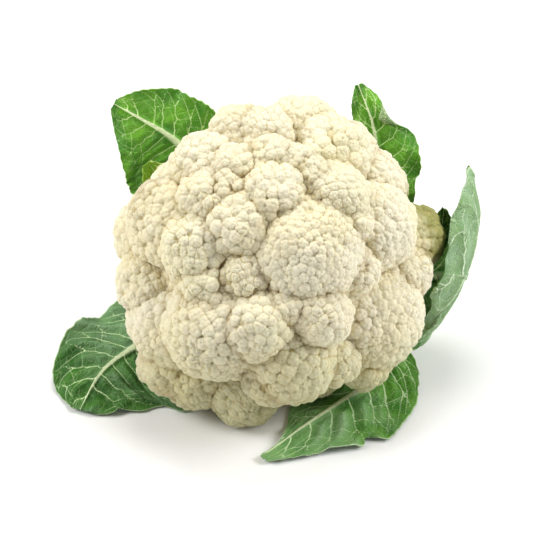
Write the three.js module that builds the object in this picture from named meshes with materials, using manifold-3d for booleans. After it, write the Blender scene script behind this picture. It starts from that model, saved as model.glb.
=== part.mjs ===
// A whole cauliflower, tipped forward so that it rests on the lower florets of its curd
// and on the cut end of its stalk. Millimetres, +Z up, with the origin under its middle.
// The head has a frame of its own: x across, y up the face of the curd, and z out along
// the stalk towards the crown.
import * as THREE from "three";
import { mergeVertices } from "three/addons/utils/BufferGeometryUtils.js";
import Module from "manifold-3d";

const wasm = await Module();
wasm.setup();

// Driving dimensions of the head
const CROWN_ELEVATION = THREE.MathUtils.degToRad(38);
const HEAD_CENTRE = new THREE.Vector3(2, -3.6, 75);
const CURD_HALF = { across: 88, tall: 93, deep: 72 };
const CORE_HALF = { across: 69, tall: 73, front: 52, back: 36 };
const CORE_DETAIL = 4;
const JOINT_GAP = 0.45;

// A floret is a ball of lobes: how far out its lobes sit and how large they are, as shares of its radius
const LOBE_SEAT = 0.56;
const LOBE_SIZE = 0.49;
const LOBE_WIDTH = 11;
const FLORET_FACET = 9.5;
const FLORET_SPREAD = 1.3;

// The florets on the face of the curd: across, up, radius, and how proud each one stands of the dome
const FACE_FLORETS = [
  [22, 6, 25, 4], [3, 36, 15, 3], [37, 35, 16, 3], [23, 48, 8.5, 0], [65, 20, 20, 2],
  [48, 20, 7, 0], [-16, 20, 15, 2], [-40, 8, 16, 2], [-34, 34, 13.5, 1], [-21, 40, 8.5, 0],
  [2, 57, 10.5, 0], [17, 55, 7.5, 0], [36, 61, 19, 1], [-18, 52, 10.5, 1], [-36, 54, 15.5, 0],
  [-2, 72, 13, 0], [-17, 73, 13.5, 0], [20, 75, 18, 0], [46, 64, 14, 0], [60, 43, 17.5, 0],
  [63, -32, 26, 3], [30, -31, 13.5, 3], [10, -25, 8.5, -3], [13, -57, 19.5, 3], [39, -57, 11, -4],
  [56, -60, 12, -6], [-6, -36, 15.5, 4], [-30, -38, 23.5, 3], [-56, -36, 21, 0], [-70, -12, 15, 0],
  [-71, 16, 16, 0], [-55, 22, 21, 0], [-60, 27, 15.5, 0], [-13, -8, 11, -4], [-14, -77, 16, 0],
  [-43, -68, 15, 0], [2, -67, 12, 0], [-58, -60, 14.5, 0], [50, -5, 10, -4], [-34, -14, 12, -2],
];
// Two shaded florets that stand out low on the right: across, up, out, radius
const SIDE_FLORETS = [
  [79, -5, -2, 14],
  [85, 14, -12, 15],
];
// The ring of florets that turns under the rim
const RIM = { count: 14, across: 66, tall: 69, out: -14, radius: 14.5 };

// The stalk, from its cut end to the flare where it branches into the curd: radius, place along the axis
const STALK = {
  cutEnd: [[0, -96.5], [19.5, -96.5], [22, -94.5]],
  side: [[23, -82], [24, -70], [27, -60], [33, -50], [42, -41], [51, -32]],
  inCurd: [[47, -25], [0, -12]],
};
const STALK_SIDES = 40;
const BRANCHES = { count: 8, depth: 0.07, from: -66, to: -40 };

// Leaf blades
const BLADE_HALF = 0.55;
const STEM_HALF = { width: [7.5, 6.5, 5, 3.6, 2.6, 1.8, 1.1], thick: [4.2, 3.8, 3, 2.1, 1.4, 0.9, 0.4] };
const WING = 1.5;
const GROUND_ROOM = 1;
const GROUND_EASE = 3;
const LEAF_STEPS = 20;
const HALF_STEPS = { stem: [0, 0.55, 1], blade: 3 };

// Each leaf: its midrib from the stalk to the tip, where its upper face looks at its base and at its tip,
// how wide the blade is beyond the midrib to its right and left, how far each half is raised and curls
// (degrees), and the waves of its margin.
const LEAVES = [
  {
    name: "leaf_upper_left",
    rib: [
      [-11, 12, -72], [-24, 33, -62], [-38, 55, -50],
      [-55, 71, -42], [-71, 81, -38], [-89, 91, -37],
    ],
    face: [[0.3, -0.3, 1], [0.1, -0.1, 1]],
    right: [0, 0, 7, 15, 21, 24, 24, 21, 13, 2],
    left: [0, 0, 8, 20, 32, 38, 36, 28, 16, 3],
    raise: { right: -4, left: -6 },
    curl: { right: 10, left: -14 },
    wave: { height: 2.2, count: 3.2, turn: 0.4 },
  },
  {
    name: "leaf_upper_left_inner",
    rib: [[-16, 9, -62], [-36, 22, -55], [-54, 37, -44], [-69, 57, -32]],
    face: [[0.4, -0.2, 1], [0.1, -0.1, 1]],
    right: [0, 0, 8, 13, 12, 1],
    left: [0, 0, 4, 7, 7, 1],
    raise: { right: 4, left: 4 },
    curl: { right: 12, left: 12 },
    wave: { height: 0.9, count: 2.5, turn: 0 },
    slim: 0.5,
    steps: 12,
  },
  {
    name: "leaf_upper_right",
    rib: [[14, 10, -70], [36, 24, -60], [54, 41, -50], [62, 59, -43], [61, 78, -39], [52, 102, -36]],
    face: [[-0.3, -0.2, 1], [-0.2, -0.1, 1]],
    right: [0, 0, 8, 22, 27, 27, 20, 12, 7, 1],
    left: [0, 0, 6, 14, 17, 16, 13, 11, 8, 1],
    raise: { right: -6, left: 0 },
    curl: { right: -12, left: 8 },
    wave: { height: 2.6, count: 3.6, turn: 0.2 },
  },
  {
    name: "leaf_right",
    rib: [[16, -3, -70], [50, -7, -64], [85, -9, -54], [109, -9, -34], [111, -8, -13], [98, -7, 2]],
    face: [[0, 0, 1], [-1, 0, -0.2]],
    right: [0, 0, 5, 12, 26, 42, 50, 45, 30, 11],
    left: [0, 0, 2, 3, 6, 26, 58, 60, 46, 16],
    raise: { right: 20, left: -25 },
    curl: { right: 34, left: 40 },
    wave: { height: 1.6, count: 2.4, turn: 0.1 },
  },
  {
    name: "leaf_right_inner",
    rib: [[17, 4, -62], [48, 6, -54], [80, 9, -45], [98, 17, -36], [101, 30, -28]],
    face: [[-0.2, -0.2, 1], [-0.4, -0.4, 1]],
    right: [0, 0, 4, 7, 8, 6, 1],
    left: [0, 0, 4, 6, 7, 6, 1],
    raise: { right: 5, left: 5 },
    curl: { right: 10, left: 10 },
    wave: { height: 0.8, count: 2, turn: 0.3 },
    slim: 0.5,
    steps: 12,
  },
  {
    name: "leaf_lower_right",
    rib: [
      [12, -14, -70], [42, -38, -60], [66, -56, -44], [62, -68, -27],
      [42, -80, -11], [19, -94, 5], [-3, -109, 21],
    ],
    face: [[-0.2, 0.4, 1], [0, 0.85, 0.5]],
    right: [0, 0, 3, 6, 13, 20, 23, 20, 2, 1],
    left: [0, 0, 5, 10, 18, 28, 34, 26, 14, 3],
    raise: { right: -20, left: -4 },
    curl: { right: -4, left: -10 },
    wave: { height: 2, count: 3, turn: 0.6 },
  },
  {
    name: "leaf_lower_left",
    rib: [
      [-12, -9, -72], [-36, -26, -62], [-60, -41, -51],
      [-80, -52, -40], [-96, -65, -27], [-106, -85, -11],
    ],
    face: [[0.2, 0.5, 0.9], [0.1, 0.8, 0.65]],
    right: [0, 0, 9, 23, 30, 32, 33, 30, 21, 5],
    left: [0, 0, 10, 34, 50, 56, 54, 46, 36, 10],
    raise: { right: -2, left: -4 },
    curl: { right: -12, left: -10 },
    wave: { height: 2.2, count: 3, turn: 0.1 },
  },
];

const CREAM = new THREE.MeshStandardMaterial({ color: 0xeee6cc, roughness: 0.75, metalness: 0 });
const PALE_STEM = new THREE.MeshStandardMaterial({ color: 0xdfe3bd, roughness: 0.6, metalness: 0 });
const LEAF_GREEN = new THREE.MeshStandardMaterial({ color: 0x3f7d36, roughness: 0.55, metalness: 0 });

// A closed three.js geometry as a solid, and back
function solidOf(geometry) {
  const bare = geometry.clone();
  bare.deleteAttribute("normal");
  bare.deleteAttribute("uv");
  const merged = mergeVertices(bare, 1e-4);
  return new wasm.Manifold(
    new wasm.Mesh({
      numProp: 3,
      vertProperties: new Float32Array(merged.attributes.position.array),
      triVerts: new Uint32Array(merged.index.array),
    }),
  );
}

function geometryOf(solid) {
  const mesh = solid.getMesh();
  const geometry = new THREE.BufferGeometry();
  geometry.setAttribute("position", new THREE.BufferAttribute(mesh.vertProperties, 3));
  geometry.setIndex(new THREE.BufferAttribute(mesh.triVerts, 1));
  geometry.computeVertexNormals();
  return geometry;
}

// The outer skin of a solid: hollows sealed inside it are filled and loose scraps dropped
function outerSkin(solid) {
  const bodies = solid.decompose();
  return bodies.reduce((best, body) => (body.volume() > best.volume() ? body : best));
}

// Directions spread evenly over a ball, by the golden angle, turned by a share of a turn
function evenDirections(count, turn) {
  const goldenAngle = Math.PI * (3 - Math.sqrt(5));
  return Array.from({ length: count }, (_, i) => {
    const height = 1 - (2 * i + 1) / count;
    const ring = Math.sqrt(1 - height * height);
    const angle = i * goldenAngle + turn * 2 * Math.PI;
    return new THREE.Vector3(ring * Math.cos(angle), ring * Math.sin(angle), height);
  });
}

// How far a ray from the middle of a floret of radius 1 runs before it leaves the last of the lobes
function lobedReach(direction, lobes) {
  return lobes.reduce((reach, lobe) => {
    const along = LOBE_SEAT * direction.dot(lobe);
    const inside = along * along - LOBE_SEAT * LOBE_SEAT + LOBE_SIZE * LOBE_SIZE;
    return inside < 0 ? reach : Math.max(reach, along + Math.sqrt(inside));
  }, LOBE_SEAT);
}

function eachVertex(geometry, move) {
  const places = geometry.attributes.position;
  const vertex = new THREE.Vector3();
  for (let i = 0; i < places.count; i++) {
    move(vertex.fromBufferAttribute(places, i));
    places.setXYZ(i, vertex.x, vertex.y, vertex.z);
  }
  return geometry;
}

// A floret whose top stands where a ball of this radius would, but broader, to run into its neighbours
function floret(crest, crestRadius, turn) {
  const radius = FLORET_SPREAD * crestRadius;
  const outward = new THREE.Vector3(
    crest.x / CURD_HALF.across ** 2,
    crest.y / CURD_HALF.tall ** 2,
    crest.z / CURD_HALF.deep ** 2,
  ).normalize();
  const centre = crest.clone().addScaledVector(outward, crestRadius - radius);
  const lobes = evenDirections(Math.round((2.6 * radius * radius) / (LOBE_WIDTH * LOBE_WIDTH)) + 9, turn);
  const ball = new THREE.IcosahedronGeometry(1, Math.round((1.1 * radius) / FLORET_FACET));
  const axis = new THREE.Vector3(Math.sin(6 * turn), Math.cos(9 * turn), 0.5).normalize();
  ball.applyMatrix4(new THREE.Matrix4().makeRotationAxis(axis, 2 * Math.PI * turn));
  eachVertex(ball, (v) => v.multiplyScalar(radius * lobedReach(v.clone().normalize(), lobes)));
  ball.translate(centre.x, centre.y, centre.z);
  return solidOf(ball);
}

// Where a floret sits so that it stands this proud of the dome
function onDome([across, up, radius, proud]) {
  const sunk = proud - radius;
  const left = 1 - (across / (CURD_HALF.across + sunk)) ** 2 - (up / (CURD_HALF.tall + sunk)) ** 2;
  return new THREE.Vector3(across, up, (CURD_HALF.deep + sunk) * Math.sqrt(Math.max(0, left)));
}

function curd() {
  const core = new THREE.IcosahedronGeometry(1, CORE_DETAIL);
  eachVertex(core, (v) => {
    const deep = v.z > 0 ? CORE_HALF.front : CORE_HALF.back;
    v.set(v.x * CORE_HALF.across, v.y * CORE_HALF.tall, v.z * deep);
  });
  const turnOf = (i) => (i * 0.618034) % 1;
  const face = FACE_FLORETS.map((f, i) => floret(onDome(f), f[2], turnOf(i)));
  const side = SIDE_FLORETS.map(([x, y, z, r], i) => floret(new THREE.Vector3(x, y, z), r, turnOf(i + 3)));
  const rim = Array.from({ length: RIM.count }, (_, i) => {
    const angle = (2 * Math.PI * (i + 0.5)) / RIM.count;
    const centre = new THREE.Vector3(RIM.across * Math.cos(angle), RIM.tall * Math.sin(angle), RIM.out);
    return floret(centre, RIM.radius, turnOf(i + 5));
  });
  return wasm.Manifold.union([solidOf(core), ...face, ...side, ...rim]);
}

// The stalk, or with room to spare round it the hollow that it fits in
function stalk(room) {
  const profile = [
    ...STALK.cutEnd.map(([radius, out]) => [radius, out - room]),
    ...STALK.side,
    ...STALK.inCurd.map(([radius, out]) => [radius, out + room]),
  ].map(([radius, out]) => new THREE.Vector2(radius === 0 ? 0 : radius + room, out));
  const turned = new THREE.LatheGeometry(profile, STALK_SIDES);
  turned.rotateX(Math.PI / 2);
  eachVertex(turned, (v) => {
    const flute = THREE.MathUtils.smoothstep(v.z, BRANCHES.from, BRANCHES.to);
    const swell = 1 + BRANCHES.depth * flute * Math.cos(BRANCHES.count * Math.atan2(v.y, v.x));
    v.set(v.x * swell, v.y * swell, v.z);
  });
  return solidOf(turned);
}

// A smooth value at t from 0 to 1 through evenly spaced values
function along(values, t) {
  const last = values.length - 1;
  const i = Math.min(Math.floor(t * last), last - 1);
  const f = t * last - i;
  const [a, b, c, d] = [i - 1, i, i + 1, i + 2].map((k) => values[Math.min(Math.max(k, 0), last)]);
  return b + 0.5 * f * (c - a + f * (2 * a - 5 * b + 4 * c - d + f * (3 * (b - c) + d - a)));
}

function ribPoint(leaf, t) {
  return new THREE.Vector3(...[0, 1, 2].map((k) => along(leaf.rib.map((p) => p[k]), t)));
}

// The half width and half thickness of the leaf stalk and midrib
function stemAt(leaf, t) {
  const slim = leaf.slim ?? 1;
  return { width: slim * along(STEM_HALF.width, t), thick: slim * along(STEM_HALF.thick, t) };
}

// A blade that reaches the surface under the head lies along it
function lieOnGround(point) {
  const upward = new THREE.Vector3(0, Math.cos(CROWN_ELEVATION), Math.sin(CROWN_ELEVATION));
  const height = HEAD_CENTRE.z + point.dot(upward) - GROUND_ROOM;
  const lifted = 0.5 * (height + Math.sqrt(height * height + GROUND_EASE * GROUND_EASE));
  return point.addScaledVector(upward, lifted - height);
}

// A point of the blade's middle surface, a distance to one side (1 is right, -1 is left) of the midrib
function bladePoint(leaf, t, side, reach, halfWidth) {
  const step = 0.01;
  const ahead = ribPoint(leaf, Math.min(t + step, 1));
  const forward = ahead.sub(ribPoint(leaf, Math.max(t - step, 0))).normalize();
  const face = new THREE.Vector3(...leaf.face[0]).lerp(new THREE.Vector3(...leaf.face[1]), t);
  const up = face.addScaledVector(forward, -face.dot(forward)).normalize();
  const across = new THREE.Vector3().crossVectors(forward, up);
  const half = side > 0 ? "right" : "left";
  const start = THREE.MathUtils.degToRad(leaf.raise[half]);
  const bend = THREE.MathUtils.degToRad(leaf.curl[half]) / halfWidth;
  const turned = start + bend * reach;
  const out = (Math.sin(turned) - Math.sin(start)) / bend;
  const rise = (Math.cos(start) - Math.cos(turned)) / bend;
  const blade = THREE.MathUtils.smoothstep(t, 0.3, 0.55) * (reach / halfWidth) ** 2;
  const ripple = Math.sin(2 * Math.PI * (leaf.wave.count * t + leaf.wave.turn + (side > 0 ? 0 : 0.37)));
  const point = ribPoint(leaf, t)
    .addScaledVector(across, side * out)
    .addScaledVector(up, rise + leaf.wave.height * blade * ripple);
  return lieOnGround(point);
}

// One leaf as a closed sheet: two like grids, above and below its middle surface, joined round the rim
function leafBlade(leaf) {
  const columns = [];
  for (const side of [-1, 1]) {
    const reaches = HALF_STEPS.stem.map((stem) => ({ side, stem, blade: 0 }));
    for (let k = 1; k <= HALF_STEPS.blade; k++) {
      reaches.push({ side, stem: 1, blade: k / HALF_STEPS.blade });
    }
    columns.push(...(side < 0 ? reaches.reverse().slice(0, -1) : reaches));
  }
  const wide = columns.length;
  const steps = leaf.steps ?? LEAF_STEPS;
  const rows = steps + 1;
  const place = (row, column) => {
    const t = row / steps;
    const { side, stem, blade } = columns[column];
    const { width, thick } = stemAt(leaf, t);
    const halfWidth = Math.max(along(side > 0 ? leaf.right : leaf.left, t), 0) + width + WING * (1 - t);
    const reach = stem * width + blade * (halfWidth - width);
    const half = BLADE_HALF + thick * Math.sqrt(Math.max(0, 1 - (reach / width) ** 2));
    return { point: bladePoint(leaf, t, side, reach, halfWidth), half };
  };
  const grid = Array.from({ length: rows }, (_, r) => Array.from({ length: wide }, (_, c) => place(r, c)));
  const upAt = (r, c) => {
    const within = (i, count) => Math.min(Math.max(i, 0), count - 1);
    const pick = (i, j) => grid[within(i, rows)][within(j, wide)].point;
    const acrossLeaf = pick(r, c + 1).clone().sub(pick(r, c - 1));
    const alongLeaf = pick(r + 1, c).clone().sub(pick(r - 1, c));
    return acrossLeaf.cross(alongLeaf).normalize();
  };
  const vertices = [];
  for (const above of [1, -1]) {
    for (let r = 0; r < rows; r++) {
      for (let c = 0; c < wide; c++) {
        const { point, half } = grid[r][c];
        vertices.push(...point.clone().addScaledVector(upAt(r, c), above * half).toArray());
      }
    }
  }
  const index = [];
  const top = (r, c) => r * wide + c;
  const bottom = (r, c) => rows * wide + r * wide + c;
  for (let r = 0; r < steps; r++) {
    for (let c = 0; c < wide - 1; c++) {
      index.push(top(r, c), top(r, c + 1), top(r + 1, c + 1));
      index.push(top(r, c), top(r + 1, c + 1), top(r + 1, c));
      index.push(bottom(r, c), bottom(r + 1, c + 1), bottom(r, c + 1));
      index.push(bottom(r, c), bottom(r + 1, c), bottom(r + 1, c + 1));
    }
  }
  const wall = (r0, c0, r1, c1) =>
    index.push(top(r0, c0), bottom(r0, c0), bottom(r1, c1), top(r0, c0), bottom(r1, c1), top(r1, c1));
  for (let c = 0; c < wide - 1; c++) {
    wall(0, c, 0, c + 1);
    wall(steps, c + 1, steps, c);
  }
  for (let r = 0; r < steps; r++) {
    wall(r, wide - 1, r + 1, wide - 1);
    wall(r + 1, 0, r, 0);
  }
  const geometry = new THREE.BufferGeometry();
  geometry.setAttribute("position", new THREE.Float32BufferAttribute(vertices, 3));
  geometry.setIndex(index);
  return solidOf(geometry);
}

// The head, tipped forward so that its crown looks out and up
const head = new THREE.Group();
head.rotation.x = Math.PI / 2 - CROWN_ELEVATION;
head.position.copy(HEAD_CENTRE);
head.updateMatrixWorld(true);

// Everything under the resting surface, in the head's own frame
const underneath = new THREE.BoxGeometry(600, 600, 100);
underneath.translate(0, 0, -50);
underneath.applyMatrix4(head.matrixWorld.clone().invert());
const ground = solidOf(underneath);

function add(name, solid, material) {
  const mesh = new THREE.Mesh(geometryOf(solid), material);
  mesh.name = name;
  head.add(mesh);
}

const socket = stalk(JOINT_GAP);
add("curd", outerSkin(curd().subtract(socket).subtract(ground)), CREAM);
add("stalk", stalk(0).subtract(ground), PALE_STEM);
for (const leaf of LEAVES) add(leaf.name, outerSkin(leafBlade(leaf).subtract(socket)), LEAF_GREEN);

const cauliflower = new THREE.Group();
cauliflower.add(head);
export default cauliflower;
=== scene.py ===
"""A whole cauliflower, tipped forward on a white table, seen from in front and above."""

import math

import bpy
import numpy as np
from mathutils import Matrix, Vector, kdtree, noise


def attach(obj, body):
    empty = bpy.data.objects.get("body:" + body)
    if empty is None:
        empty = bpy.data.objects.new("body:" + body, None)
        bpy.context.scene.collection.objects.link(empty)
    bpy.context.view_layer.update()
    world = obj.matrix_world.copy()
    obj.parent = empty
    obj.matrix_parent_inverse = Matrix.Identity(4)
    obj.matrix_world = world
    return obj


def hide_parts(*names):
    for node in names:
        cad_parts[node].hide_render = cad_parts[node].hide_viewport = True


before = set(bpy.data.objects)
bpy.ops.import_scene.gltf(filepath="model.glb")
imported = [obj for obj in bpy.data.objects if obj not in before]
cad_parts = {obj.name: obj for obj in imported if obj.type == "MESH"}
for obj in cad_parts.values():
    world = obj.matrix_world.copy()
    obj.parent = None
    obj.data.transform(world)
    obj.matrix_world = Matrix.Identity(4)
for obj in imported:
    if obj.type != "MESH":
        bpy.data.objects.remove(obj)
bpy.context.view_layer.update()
bpy.ops.object.select_all(action="DESELECT")

MM = 0.001

# The head's own frame, as in the solids: x across, y up the face of the curd, z out towards the crown
CROWN_ELEVATION = math.radians(38)
HEAD_CENTRE = np.array((2.0, -3.6, 75.0)) * MM
ACROSS = np.array((1.0, 0.0, 0.0))
UP_FACE = np.array((0.0, math.sin(CROWN_ELEVATION), math.cos(CROWN_ELEVATION)))
OUTWARD = np.array((0.0, -math.cos(CROWN_ELEVATION), math.sin(CROWN_ELEVATION)))
TO_WORLD = np.stack([ACROSS, UP_FACE, OUTWARD])

# The photograph's view: straight at the crown, a little below the middle of the head
PHOTO_WIDTH = 302.4 * MM
PHOTO_AIM = np.array((1.1, -5.0, 0.0)) * MM
CAMERA_DISTANCE = 1.2
SENSOR_WIDTH = 36.0

# Sizes of the curd, in millimetres
CURD_HALF = np.array((88.0, 93.0, 72.0))
CORE_HALF = {"across": 69.0, "tall": 73.0, "front": 52.0, "back": 36.0}
FLORET_SPREAD = 1.3
GOLDEN_TURN = 0.618034
GOLDEN_ANGLE = math.pi * (3 - math.sqrt(5))

# The knobs of a floret: seat and size as shares of its radius, and the width, in millimetres, that sets how
# many there are. KNOB_SHARE is how much of their height is left under the lobes and grains.
KNOB = {"seat": 0.56, "size": 0.49, "width": 11.0, "crowd": 2.6, "fewest": 9}
KNOB_SHARE = 0.6
PROBE_DIRECTIONS = 400

# The florets on the face of the curd: across, up, radius, and how proud each one stands of the dome
FACE_FLORETS = [
    (22, 6, 25, 4), (3, 36, 15, 3), (37, 35, 16, 3), (23, 48, 8.5, 0), (62, 20, 19.5, 2),
    (48, 20, 7, 0), (-16, 20, 15, 2), (-40, 8, 16, 2), (-34, 34, 13.5, 1), (-21, 40, 8.5, 0),
    (2, 57, 10.5, 0), (17, 55, 7.5, 0), (36, 61, 19, 1), (-18, 52, 10.5, 1), (-36, 54, 15.5, 0),
    (-2, 72, 13, 0), (-17, 73, 13.5, 0), (20, 75, 18, 0), (46, 64, 14, 0), (60, 43, 17.5, 0),
    (61, -32, 25.5, 3), (30, -31, 13.5, 3), (10, -25, 8.5, -3), (13, -57, 19.5, 3), (39, -57, 11, -4),
    (56, -60, 12, -6), (-6, -36, 15.5, 4), (-30, -38, 23.5, 3), (-56, -36, 21, 0), (-70, -12, 15, 0),
    (-71, 16, 16, 0), (-55, 22, 21, 0), (-60, 27, 15.5, 0), (-13, -8, 11, -4), (-14, -77, 16, 0),
    (-43, -68, 15, 0), (2, -67, 12, 0), (-58, -60, 14.5, 0), (50, -5, 10, -4), (-34, -14, 12, -2),
]
# Florets at the right edge, by across, up, out and radius, and the ring of florets round the back. The knobs
# of the first one of each are turned by so many golden turns.
SIDE_TURNS = 3
SIDE_FLORETS = [(79, -5, -2, 14), (85, 14, -12, 15)]
RIM = {"count": 14, "across": 66.0, "tall": 69.0, "out": -14.0, "radius": 14.5, "turns": 5}

# How much of the curd's dark specks a floret has
SPECKLED = {"proud": 0.2, "sunk": 1.0, "core": 0.0}

# Relief of a floret, in millimetres: lobes, and the grains that cover them, all round beads that run into
# each other. Their size is a share of their spacing, they stand closer at the crest by crowding, and a
# floret's coarseness is the first number plus a random share of the second.
LOBES = {
    "spacing": 6.4, "size": 0.66, "height": 0.6,
    "crowding": 1.08, "jitter": 0.4, "coarse": (0.85, 0.4),
}
GRAINS = {
    "spacing": 2.5, "size": 0.63, "height": 0.5,
    "crowding": 1.1, "jitter": 0.35, "coarse": (0.85, 0.35),
}
BEAD = {"near": 4, "fewest": 12, "packing": 0.87, "least": 0.9, "varies": 0.2, "crease": 0.22, "ground": 0.45}
EASE = {"rounds": 4, "neighbours": 6, "room": 1.15, "step": 0.35}
CREVICE_FILL = {"height": 0.5, "reach": 2.0}
CREVICE_REACH = 2.2
FLORET_SEED = 900

# The mesh of a floret: its longest edge where it shows, on the face and behind, and how deep inside its
# neighbours it is hidden
FINE_EDGE = 0.45
BACK_EDGE = 0.8
HIDDEN_DEPTH = 2.2
LARGE_FLORET = 13
BALL_DETAIL = {"large": 5, "small": 4}
ICOSAHEDRON_EDGE = 1.0515
MOST_TRIANGLES = 150000
NEIGHBOUR_ROOM = 8
NEAR_FLORET = {"share": 1.2, "room": 12}
FAR_OUTSIDE = -1e3
TOUCHING = 1e-6
SIDEWAYS = (0.31, 0.95, 0.02)

# Where the curd gets painted shade, tinted by painted green light off the leaves, in the head's frame, and
# how much
PAINTED_SHADE = {
    "low": {"up": (-98, -22), "share": 0.6},
    "behind": {"out": (-34, -6), "share": 0.28},
    "beside": {"across": (68, 84), "up": (-6, 6), "out": (0, 12), "share": 1.1},
}

# The stalk, in millimetres: radius and place along the axis
STALK_PROFILE = [
    (0, -96.5), (12, -96.6), (19.5, -96.5), (22, -94.5), (22.6, -88), (23, -82), (24, -70), (27, -60),
    (33, -50), (42, -41), (51, -32), (47, -25), (20, -17), (0, -12),
]
STALK_RADIUS = 22
STALK_END = -96.5
STALK_GRID = {"around": 160, "along": 170}
STALK_SHADING = 60
BRANCHES = {"count": 8, "depth": 0.07, "from": -66.0, "to": -40.0}

# Its rough side: where that is, and the lumps and long fibres on it, by fineness, length and height
ROUGH_SIDE = {"radius": (18, 22), "out": (-44, -34)}
LUMPS = {"fineness": 2.2, "length": 14, "height": 0.9}
FIBRES = {"fineness": 14, "length": 30, "height": 0.35}
CUT_END = {"out": (-95.5, -93.5), "dish": 0.35, "width": 5, "layer": 4.2}
SAME_PLACE = 0.01

# Leaf blades, in millimetres, with places along a leaf and out to its rim as shares of the whole
BLADE_HALF = 0.4
STEM_WIDTH = [7.5, 6.5, 5, 3.6, 2.6, 1.8, 1.1]
RIB_SHARE = [1, 1, 0.85, 0.66, 0.5, 0.36, 0.12]
STEM_THICK = [4.2, 3.8, 3, 2.1, 1.4, 0.9, 0.4]
WING = 1.5
GROUND_ROOM = 1.0
GROUND_EASE = 3.0
LOWEST_LEAF = 0.1
LEAF_EDGE = 0.78
LEAF_SEED = 300
LEAF_STEPS = 200
RIB_STEP = 0.01
WAVED = (0.3, 0.55)
LEFT_WAVE_TURN = 0.37
BLADE = (0.25, 0.45)
RIB_EDGE = (0.75, 1.15)
THIN_RIM = {"from": 0.9, "loss": 0.4}
PILLOW_REACH = 5.5
FOLDS = {"height": 1.2, "width": 15, "layer": 7.3}
CRIMPED = {"from": 0.45, "turn": 0.31}
MAP_SIZE = 100

# The teeth of a rim: the rising and falling share of each, how unevenly they are spaced and how they vary
TOOTH = {"rise": 0.7, "fall": 0.3, "full_width": 10, "rim_power": 8}
TOOTH_SPACING = {"shift": 0.35, "along": 17, "side": 3}
TOOTH_DEPTH = {"least": 0.6, "varies": 0.8, "along": 9, "side": 2}

# A side vein leaves the rib, forks on its way to the rim, and has two twigs. Its half width is in
# millimetres, and those of its forks and twigs are shares of it.
VEIN = {"count": 9, "first": 0.24, "spread": 0.7, "stagger": 0.5, "scatter": 0.3, "points": 8, "curve": 1.2}
VEIN_RUN = {"length": 0.2, "loss": 0.6, "scatter": 0.03}
VEIN_HALF = {"start": 0.82, "loss": 0.35, "end": 0.5}
FORK = {"from": 0.5, "scatter": 0.18, "to": 0.93, "points": 7, "start": 0.55, "end": 0.28}
FORK_RUN = {"length": 1.1, "lean": 0.09, "scatter": 0.05}
TWIG = {"reach": 0.3, "to": 0.9, "points": 5, "lean": 0.28, "start": 0.42, "end": 0.16}
# Which point of the vein each twig leaves, and which way it leans
TWIG_PLACES = ((3, 1), (5, -1))
VEIN_KINK = 0.003
VEIN_NEAR = 12
VEIN_EDGE = (-0.3, 0.2)
VEIN_RIDGE = {"sunk": 0.3, "thicker": 0.24}
NO_VEIN = -2.0
NO_MAIN_VEIN = 99.0
SHORTEST_LINE = 1e-9

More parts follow.
